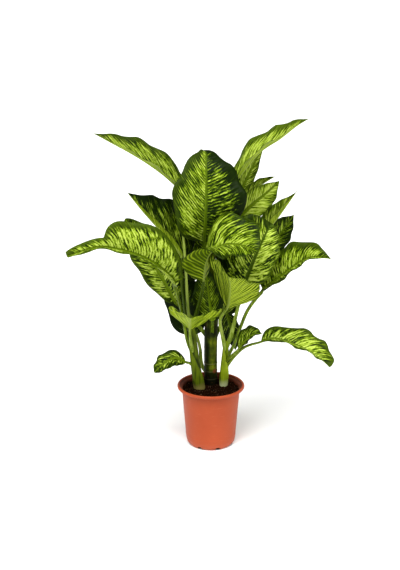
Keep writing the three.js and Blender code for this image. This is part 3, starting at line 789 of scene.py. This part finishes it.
def leaf_top(name, number, leaf, length):
    """Broken pale streaks along the side veins on dark green, thinning out to a plain green margin darkened
    by painted shade.
    """
    s = Shader(name)
    veins = Veins(s, number, leaf, length)
    grain, contrast = leaf["streaks"]
    streaks = veins.streaks(140 * grain, 40 * grain ** 0.5, 3, 0.78)
    patches = veins.clouds(26, 2, 3, out=24)
    specks = veins.streaks(420, 190, 1)
    wave = veins.waves(VEIN_SPACING)
    margin = s.stored("margin") - veins.streaks(170, 45, shift=7) * MARGIN_RAGS
    margin = margin - veins.of_halves(leaf["margin"]) * MM
    # Each half's paleness, partly painted light and shade for how that half is lit.
    pale = veins.of_halves(leaf["pale"])
    fade = s.step(margin, -0.022, 0.016, MARGIN_FADE, 0)
    level = (streaks - 0.5) * contrast + 0.5 + (patches - 0.5) * PATCH_SHARE + (specks - 0.5) * SPECK_SHARE
    level = level + wave * WAVE_SHARE + (pale - PALE_MIDDLE) * PALE_SHARE - fade
    colour = s.ramp(level, [(0.27, DARK), (0.38, DEEP), (0.47, GREEN), (0.60, LIME), (0.76, PALE_LIME)])
    # The plain margin is the leaf's own, and its dark colour is partly painted shade along the leaf's edge.
    plain = s.ramp(pale, [(0.1, DARK), (0.45, MARGIN_DARK), (0.8, MARGIN_GREEN)])
    colour = s.mix(s.step(margin, -0.014, 0, 0.8, 0), colour, plain)
    past_rib = veins.past_rib([width * leaf["rib_width"] for width in RIB_WIDTHS])
    # Painted shade: a dark band along each side of the midrib, for the shadow beside it.
    colour = s.mix(s.step(past_rib, 0.0006, 0.0026, 0.75, 0), colour, DEEP)
    rib_colour = s.ramp(leaf.get("rib_pale", pale), [(0.1, DEEP), (0.4, RIB_GREEN)])
    colour = s.mix(s.step(past_rib, -0.0008, 0.0008, 1, 0) * 0.95, colour, rib_colour)
    rough = s.step(veins.clouds(60, 3), 0.2, 0.8, 0.28, 0.42)
    return s.finish(colour, rough, LEAF_GLOSS, wave * 0.5 + streaks * 0.5, 0.0006, 0.4)


def leaf_under(name, number, leaf, length):
    """Pale matt green with fine stripes along the side veins and a paler midrib."""
    s = Shader(name)
    veins = Veins(s, number, leaf, length)
    stripes = veins.waves(UNDER_SPACING) * leaf["stripes"]
    streaks = veins.streaks(260, 20, 3, 0.55)
    level = stripes + (streaks * 0.8 + 0.1) + (veins.clouds(22, 1) - 0.5) * 0.25
    # Each half's underside paleness, partly painted light shining through it and painted shade.
    level = level + (veins.of_halves(leaf["under"]) - 0.5) * 0.40
    colour = s.ramp(level, [(0.34, UNDER_DARK), (0.51, UNDER_GREEN), (0.66, UNDER_PALE)])
    colour = s.mix(s.step(s.stored("margin"), 0.001, 0.012, 0.5, 0), colour, UNDER_DARK)
    rib = s.step(veins.past_rib(UNDER_RIB_WIDTHS), -0.0008, 0.0008, 1, 0)
    colour = s.mix(rib * 0.8, colour, STALK_PALE)
    return s.finish(colour, 0.5, LEAF_GLOSS, level, 0.0008, 0.6)


def stalk_shader(name, tone):
    """Stalk with flecks drawn out along it: tone goes from 0 for dark green to 1 for pale."""
    s = Shader(name)
    place = s.position()
    x, y, z = s.split(place)
    fibres = s.noise((x * 260, y * 260, z * 18), 1, 3)
    level = fibres * 0.6 + s.noise(place, 9) * 0.4 + 0.30 * (tone - 0.5)
    colour = s.ramp(level, [(0.40, STALK_GREEN), (0.52, STALK_MIDDLE), (0.66, STALK_PALE)])
    return s.finish(colour, 0.40, STALK_GLOSS, fibres, 0.0005, 0.5)


CANE_COLOURS = [(0.34, (0.003, 0.0045, 0.0001)), (0.50, (0.017, 0.026, 0.0004)),
                (0.62, (0.072, 0.098, 0.003)), (0.76, (0.200, 0.230, 0.010))]
CANE_FOOT_SHADE = (0.003, 0.0022, 0.0012)
CANE_RINGS = (0.16, 0.155, 0.07)
CANE_FLECKS = (0.09, 0.035, 0.012)
BROWN_SCAR = (0.17, 0.052, 0.018)
BROWN_SCAR_PLACE = (0.013, 0.034, 0.226)


def cane_shader():
    """Dark green, mottled old stem with pale rings and a brown scar, painted light and shade on its two
    sides, and a painted-shade black foot.
    """
    s = Shader("cane_skin")
    place = s.position()
    x, y, z = s.split(place)
    fibres = s.noise((x * 150, y * 150, z * 14), 1, 3)
    patches = s.noise(place, 24, 4, 0.6)
    # Painted light and shade: a lighter stretch on the cane's right side, and its left side painted darker.
    light = s.step(z, 0.215, 0.245) * s.step(z, 0.30, 0.36, 1, 0) * s.step(x, -0.010, 0.008, 0, 0.12)
    level = fibres * 0.35 + patches * 0.65 + light - s.step(x, -0.020, 0.004, 0.10, 0)
    colour = s.ramp(level + s.step(z, 0.36, 0.50, 0, 0.08), CANE_COLOURS)
    # Painted shade: the foot of the cane is painted near black where it stands in shade above the soil.
    foot = s.step(z + patches * 0.02, 0.210, 0.232, 1, 0)
    colour = s.mix(foot * 0.9, colour, CANE_FOOT_SHADE)
    rings = s.step(s.stored("scar"), 0.45, 0.95) * s.step(s.noise(place, 14), 0.40, 0.60, 0.12, 0.65)
    colour = s.mix(rings * s.step(z, 0.300, 0.305, 1, 0), colour, CANE_RINGS)
    away = s.add("VectorMath", "Value", {0: place, 1: BROWN_SCAR_PLACE}, operation="DISTANCE")
    colour = s.mix(s.step(away + patches * 0.008, 0.009, 0.014, 0.85, 0), colour, BROWN_SCAR)
    flecks = s.step(s.noise(place, 90), 0.64, 0.70)
    colour = s.mix(flecks * 0.4, colour, CANE_FLECKS)
    return s.finish(colour, s.step(patches, 0.3, 0.7, 0.36, 0.6), CANE_GLOSS, fibres + patches, 0.0010, 0.7)


def shoot_shader(name, green, light, foot):
    """Smooth green shoot with long fibres, sheaths paler at their edges with painted shadow below, and a
    paler or browner foot.
    """
    s = Shader(name)
    place = s.position()
    x, y, z = s.split(place)
    fibres = s.noise((x * 190, y * 190, z * 10), 1, 3)
    patches = s.noise(place, 16, 3)
    sheath = s.stored("sheath")
    level = fibres * 0.55 + patches * 0.45 + s.step(sheath, 0.55, 0.97, 0, 0.12)
    # Painted shadow: darker just below each sheath's edge, where the sheath over it casts shade.
    colour = s.ramp(level - s.step(sheath, 0.02, 0.30, 0.14, 0), [(0.36, green), (0.64, light)])
    height = z + (patches - 0.5) * 0.05
    colour = s.mix(s.step(height, 0.180, 0.205, 0.85, 0), colour, foot)
    return s.finish(colour, s.step(patches, 0.3, 0.7, 0.34, 0.5), SHOOT_GLOSS, fibres, 0.0008, 0.6)


POT_COLOURS = [(0.3, (0.315, 0.054, 0.0155)), (0.7, (0.360, 0.067, 0.0215))]
POT_SCUFFS = (0.47, 0.14, 0.065)
POT_PALER_FOOT = (0.43, 0.12, 0.055)
POT_DARK_INSIDE = (0.045, 0.014, 0.007)
DRAIN_SHADE_COLOURS = [(0.3, (0.010, 0.003, 0.001)), (0.7, (0.030, 0.009, 0.004))]


def pot_shader():
    """Terracotta-coloured moulded plastic, faintly clouded and scuffed, and dark inside above the soil."""
    s = Shader("pot_plastic")
    place = s.position()
    x, y, z = s.split(place)
    clouds = s.noise(place, 7, 4, 0.6)
    scuffs = s.noise((x * 40, y * 40, z * 320), 1, 3)
    colour = s.mix(s.step(scuffs, 0.60, 0.74, 0, 0.22), s.ramp(clouds, POT_COLOURS), POT_SCUFFS)
    # The pot is painted paler towards its foot.
    colour = s.mix(s.step(z, 0.004, 0.030, 0.30, 0), colour, POT_PALER_FOOT)
    radius = s.add("VectorMath", "Value", {0: s.join(x, y, 0)}, operation="LENGTH")
    # The inside wall above the soil is painted dark brown.
    past_wall = radius - s.step(z, 0.1845, 0.1880, 0.0897, 0.0980)
    dark_inside = s.step(past_wall, -0.0004, 0.0006, 0.86, 0) * s.step(z, 0.1745, 0.1750)
    dark_inside = dark_inside * s.step(s.noise(place, 45, 3), 0.30, 0.60, 1, 0.86)
    colour = s.mix(dark_inside, colour, POT_DARK_INSIDE)
    rough = s.step(clouds + scuffs * 0.4, 0.4, 1, 0.34, 0.56)
    return s.finish(colour, rough, POT_GLOSS, s.noise(place, 900) + scuffs * 0.5, 0.0002, 0.35)


def drain_shade_shader():
    """Painted shade: the drain notches' walls painted near black, for the dark inside of the pot seen through
    them.
    """
    s = Shader("pot_drain_shade")
    return s.finish(s.ramp(s.noise(s.position(), 200), DRAIN_SHADE_COLOURS), 0.9, DRY_GLOSS)


def soil_shader(name, dark, light, scale):
    """Crumbly potting soil, dark with reddish and light specks."""
    s = Shader(name)
    place = s.position()
    crumbs = s.noise(place, scale, 4, 0.7)
    specks = s.step(s.noise(place, scale * 1.7, 1), 0.66, 0.70)
    colour = s.mix(specks * 0.7, s.ramp(crumbs, [(0.34, dark), (0.66, light)]), (0.075, 0.022, 0.010))
    grains = s.step(s.noise(place, scale * 2.9, 0), 0.76, 0.80)
    colour = s.mix(grains, colour, (0.24, 0.17, 0.11))
    return s.finish(colour, 0.9, DRY_GLOSS, crumbs + s.noise(place, scale * 4) * 0.4, 0.002, 0.9)


def floor_shader():
    """Plain pale floor."""
    s = Shader("floor_pale")
    colour = s.ramp(s.noise(s.position(), 3), [(0.3, (0.92, 0.92, 0.92)), (0.7, (0.93, 0.93, 0.93))])
    return s.finish(colour, 0.8, FLOOR_GLOSS)


# Stems


def build_stem(name, material):
    """A round stem along its line: ringed by leaf scars where it is old, or else wrapped in leaf sheaths."""
    stem = STEMS[name]
    old = "scars_up_to" in stem
    path = Path(stem["line"])
    rows = round(path.length / STEM_ROW)
    fraction = np.linspace(0, 1, rows)
    centre, ahead = path.at(fraction)
    side = unit(np.array([1.0, 0, 0]) - ahead[:, :1] * ahead)
    up = np.cross(ahead, side)
    radius = np.interp(fraction * (len(stem["radii"]) - 1), np.arange(len(stem["radii"])), stem["radii"])
    angle = circle(STEM_SIDES)
    height = centre[:, 2:3]
    ribs = sum(depth * np.sin(angle * count + twist * height) for depth, count, twist in STEM_RIBS)
    if old:
        steps = round(path.length / STEM_STEP)
        scars = np.zeros(rows)
        for step in range(0, steps + 1, SCAR_EVERY):
            from_scar = (fraction - step / steps) * path.length
            scars = np.maximum(scars, np.exp(-(from_scar / SCAR_WIDTH) ** 2))
        scars = scars * np.where(centre[:, 2] < stem["scars_up_to"], 1.0, FAINT_SCARS)
        away = (radius + SCAR_HEIGHT * scars)[:, None] + ribs
    else:
        sheath = np.mod(angle / np.pi + height / SHEATH_PITCH + SHEATH_START, 1)
        away = radius[:, None] + ribs + SHEATH_DEPTH * (sheath ** 4 - SHEATH_MIDDLE)
    verts = centre[:, None] + side[:, None] * (away * np.cos(angle))[..., None]
    verts = verts + up[:, None] * (away * np.sin(angle))[..., None]
    faces = tube_faces(rows, STEM_SIDES)
    made = new_object(name + "_fine", verts.reshape(-1, 3), faces, "cane" if old else "shoot", material)
    if old:
        set_attribute(made, "scar", "FLOAT", np.repeat(scars, STEM_SIDES))
    else:
        set_attribute(made, "sheath", "FLOAT", sheath)
    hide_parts(name)


# Pot


def rounded(profile):
    """A profile of [radius, height] points with its corners rounded."""
    points = [np.array(p, float) for p in profile]
    made = [points[0]]
    for before, here, after in zip(points, points[1:], points[2:]):
        ends = []
        for other in (before, after):
            length = np.linalg.norm(other - here)
            ends.append(here + (other - here) / length * min(CORNER_RADIUS, CORNER_SHARE * length))
        for share in (0, 0.25, 0.5, 0.75, 1):
            made.append((1 - share) ** 2 * ends[0] + 2 * share * (1 - share) * here + share ** 2 * ends[1])
    return made + [points[-1]]


def lathe(profile, sides):
    """Points and faces of a profile turned round the upright axis. Its ends lie on the axis."""
    rings = len(profile) - 2
    verts = turned_points(profile[1:-1], circle(sides)).reshape(-1, 3)
    faces = grid_faces(rings, sides, closed=True)
    low, high = len(verts), len(verts) + 1
    verts = np.vstack([verts, [0, 0, profile[0][1]], [0, 0, profile[-1][1]]])
    last = (rings - 1) * sides
    for k in range(sides):
        after = (k + 1) % sides
        faces.append([low, after, k])
        faces.append([high, last + k, last + after])
    return verts, faces


def drain_cutter():
    """A block for each drain notch, all in one object."""
    inner = -FOOT_RADIUS + DRAIN_INSET
    block = [[x, y, z] for x in (-DRAIN_WIDTH / 2, DRAIN_WIDTH / 2) for y in (inner - DRAIN_LENGTH, inner)
             for z in (-DRAIN_HEIGHT, DRAIN_HEIGHT + DRAIN_ARCH)]
    corners, sides = [], []
    for drain in range(DRAINS):
        start = len(corners)
        turn = math.radians(DRAIN_TURN) + drain / DRAINS * 2 * math.pi
        corners += (np.array(block) @ rotation(turn, 0, 1)).tolist()
        for face in ([0, 1, 3, 2], [4, 6, 7, 5], [0, 4, 5, 1], [2, 3, 7, 6], [0, 2, 6, 4], [1, 5, 7, 3]):
            sides.append([start + k for k in face])
    return new_object("drain_cutter", corners, sides, "pot", drain_shade_shader())


def build_pot():
    """The moulded pot, with the CAD's profile, softer corners and the drain notches cut out."""
    lip_foot = POT_HEIGHT - LIP_HEIGHT
    band_share = (POT_BAND - FOOT_HEIGHT - 4) / (lip_foot - FOOT_HEIGHT - 6)
    band_radius = BASE_RADIUS + (NECK_RADIUS - BASE_RADIUS) * band_share
    profile = [
        [0, 0], [FOOT_RADIUS, 0], [FOOT_RADIUS + 5, 2.5], [FOOT_RADIUS + 9, 8],
        [BASE_RADIUS, FOOT_HEIGHT + 4], [band_radius, POT_BAND - 2], [band_radius + 0.5, POT_BAND],
        [band_radius + 0.1, POT_BAND + 2], [NECK_RADIUS, lip_foot - 2], [NECK_RADIUS + 3, lip_foot + 1],
        [RIM_RADIUS - 2, lip_foot], [RIM_RADIUS, lip_foot + 2.5], [RIM_RADIUS, POT_HEIGHT - 3],
        [RIM_RADIUS - 1.5, POT_HEIGHT - 0.8], [RIM_RADIUS - 3.5, POT_HEIGHT],
        [OPENING_RADIUS + 1, POT_HEIGHT - 0.8], [OPENING_RADIUS, POT_HEIGHT - 3],
        [OPENING_RADIUS - 2, lip_foot + 3.5], [NECK_RADIUS + 0.5, lip_foot + 2],
        [NECK_RADIUS - POT_WALL, lip_foot - 1.5], [BASE_RADIUS - POT_WALL, FOOT_HEIGHT + 4],
        [FOOT_RADIUS + 7, 9], [FOOT_RADIUS + 3, POT_FLOOR], [0, POT_FLOOR],
    ]
    made = new_object("pot_fine", *lathe(rounded(profile), POT_SIDES), "pot", pot_shader())
    cutter = drain_cutter()
    cut = made.modifiers.new("drains", "BOOLEAN")
    cut.operation = "DIFFERENCE"
    cut.solver = "EXACT"
    cut.material_mode = "TRANSFER"
    cut.object = cutter
    result = bpy.data.meshes.new_from_object(made.evaluated_get(bpy.context.evaluated_depsgraph_get()))
    made.modifiers.clear()
    made.data = result
    bpy.data.objects.remove(cutter)
    made.data.set_sharp_from_angle(angle=math.radians(SHARP_ANGLE))
    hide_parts("pot")


# Soil


def soil_height(x, y):
    """The uneven top of the soil, as in the CAD, with finer lumps."""
    bump = np.sin(x * 0.17 + 1) * np.cos(y * 0.13) + np.sin(x * 0.09 - y * 0.21)
    lumps = np.sin(x * 0.9 + 2 * np.sin(y * 0.5)) * np.cos(y * 0.8 + 1.5 * np.sin(x * 0.6))
    lumps = lumps + 0.6 * np.sin(x * 1.9 - y * 1.3) * np.sin(y * 2.1 + x * 0.7)
    return SOIL_LEVEL + SOIL_ROUGHNESS * bump + SOIL_LUMPS * lumps


def build_soil():
    """The soil's uneven top over the pot's full inside."""
    angle = circle(SOIL_SIDES)
    radius = np.linspace(0.3, NECK_RADIUS - POT_WALL - 0.8, SOIL_RINGS)[::-1, None]
    x, y = radius * np.cos(angle), radius * np.sin(angle)
    walls = [[FOOT_RADIUS + 2, POT_FLOOR + 0.3], [FOOT_RADIUS + 6, 10],
             [BASE_RADIUS - POT_WALL - 0.4, FOOT_HEIGHT + 6]]
    verts = np.concatenate([turned_points(walls, angle), stacked(x, y, soil_height(x, y))]).reshape(-1, 3)
    material = soil_shader("soil_dark", (0.0012, 0.0003, 0.0001), (0.015, 0.0048, 0.0016), 130)
    made = new_object("soil_fine", verts, tube_faces(len(walls) + SOIL_RINGS, SOIL_SIDES), "soil", material)
    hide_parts("soil")


def build_crumbs():
    """Small lumps and bark bits strewn on the soil."""
    corners = np.array([[1, 0, 0], [-1, 0, 0], [0, 1, 0], [0, -1, 0], [0, 0, 1], [0, 0, -1],
                        [0.62, 0.62, 0.5], [-0.62, 0.62, 0.5], [0.62, -0.62, 0.5], [-0.62, -0.62, 0.5]])
    shell = [[4, 0, 6], [4, 6, 2], [4, 2, 7], [4, 7, 1], [4, 1, 9], [4, 9, 3], [4, 3, 8], [4, 8, 0],
             [0, 2, 6], [2, 1, 7], [1, 3, 9], [3, 0, 8], [5, 2, 0], [5, 1, 2], [5, 3, 1], [5, 0, 3]]
    verts, faces = [], []
    reach = NECK_RADIUS - POT_WALL - CRUMB_EDGE
    for _ in range(CRUMBS):
        away = reach * math.sqrt(rng.random())
        turn = rng.random() * 2 * math.pi
        x, y = away * math.cos(turn), away * math.sin(turn)
        size = rng.uniform(*CRUMB_SIZES) * (BIG_CRUMB if rng.random() < BIG_CRUMBS else 1)
        stretch = np.array([rng.uniform(*limits) for limits in CRUMB_STRETCH]) * size
        spin, tip = rng.random() * 2 * math.pi, rng.uniform(-CRUMB_TIP, CRUMB_TIP)
        lump = corners * rng.uniform(1 - CRUMB_UNEVEN, 1 + CRUMB_UNEVEN, (len(corners), 1)) * stretch
        lump = lump @ rotation(tip, 0, 2) @ rotation(spin, 0, 1)
        start = len(verts)
        verts += (lump + [x, y, soil_height(x, y) + CRUMB_LIFT * size]).tolist()
        faces += [[start + k for k in face] for face in shell]
    material = soil_shader("soil_crumb", (0.0020, 0.0006, 0.0003), (0.032, 0.0105, 0.0035), 95)
    new_object("soil_crumbs", verts, faces, "soil", material)


# Scene

# The dark, the light and the foot of each shoot's skin.
SHOOT_COLOURS = {
    "left_shoot": ((0.015, 0.026, 0.0002), (0.105, 0.148, 0.003), (0.20, 0.17, 0.05)),
    "right_shoot": ((0.085, 0.135, 0.0006), (0.290, 0.370, 0.014), (0.46, 0.49, 0.28)),
}

# Each light's place, whose direction it comes from, its spread in degrees and its power.
LIGHTS = {
    "key": ((-1.3, -1.9, 3.6), 40, 3.1),
    "second": ((1.7, -1.5, 3.6), 45, 2.0),
    "fill": ((0.6, -2.6, 1.6), 80, 0.6),
}

# The studio is white up to the first height over the horizon, and dimmer from the second one up.
WALL_TOP = (0.12, 0.26)
WALL_LIGHT = 1.0
CEILING_LIGHT = 0.28

FLOOR_SIZE = 160
FLOOR_PLACE = (0, 40, 0)
GAMMA = 0.92
EXPOSURE = 0.05
CAMERA_PLACE = (-0.034, -3.1, 1.48)
CAMERA_DOWN = 17.2
FOCAL_LENGTH = 67.26
SENSOR_HEIGHT = 36

leaves = {leaf_name: PLAIN_LEAF | own for leaf_name, own in LEAVES.items()}
tones = sorted({values["tone"] for values in leaves.values()})
stalk_skins = {tone: stalk_shader(f"leaf_stalk_{k}", tone) for k, tone in enumerate(tones)}
for leaf_number, (leaf_name, values) in enumerate(leaves.items()):
    build_leaf(leaf_name, leaf_number, values)
build_stem("cane", cane_shader())
for shoot_name, colours in SHOOT_COLOURS.items():
    build_stem(shoot_name, shoot_shader(shoot_name + "_skin", *colours))
build_pot()
build_soil()
build_crumbs()

bpy.ops.mesh.primitive_plane_add(size=FLOOR_SIZE, location=FLOOR_PLACE)
floor = bpy.context.object
floor.name = "floor"
floor.data.materials.append(floor_shader())

for light_name, ((x, y, z), spread, power) in LIGHTS.items():
    lamp = bpy.data.lights.new(light_name, "SUN")
    lamp.angle = math.radians(spread)
    lamp.energy = power
    light = bpy.data.objects.new(light_name, lamp)
    bpy.context.scene.collection.objects.link(light)
    light.location = (x, y, z)
    light.rotation_euler = (math.atan2(math.hypot(x, y), z), 0, math.atan2(x, -y))

world = bpy.data.worlds.new("studio")
world.use_nodes = True
walls = Nodes(world.node_tree)
background = world.node_tree.nodes["Background"]
background.inputs["Color"].default_value = (1, 1, 1, 1)
direction = walls.split(walls.add("TexCoord", "Generated", {}))
brightness = walls.step(direction[2], *WALL_TOP, WALL_LIGHT, CEILING_LIGHT)
walls.plug(background.inputs["Strength"], brightness)
bpy.context.scene.world = world
bpy.context.scene.view_settings.view_transform = "Standard"
bpy.context.scene.view_settings.gamma = GAMMA
bpy.context.scene.view_settings.exposure = EXPOSURE

lens = bpy.data.cameras.new("camera")
lens.sensor_fit = "VERTICAL"
lens.sensor_height = SENSOR_HEIGHT
lens.lens = FOCAL_LENGTH
camera = bpy.data.objects.new("camera", lens)
bpy.context.scene.collection.objects.link(camera)
camera.location = CAMERA_PLACE
camera.rotation_euler = (math.radians(90 - CAMERA_DOWN), 0, 0)
bpy.context.scene.camera = camera
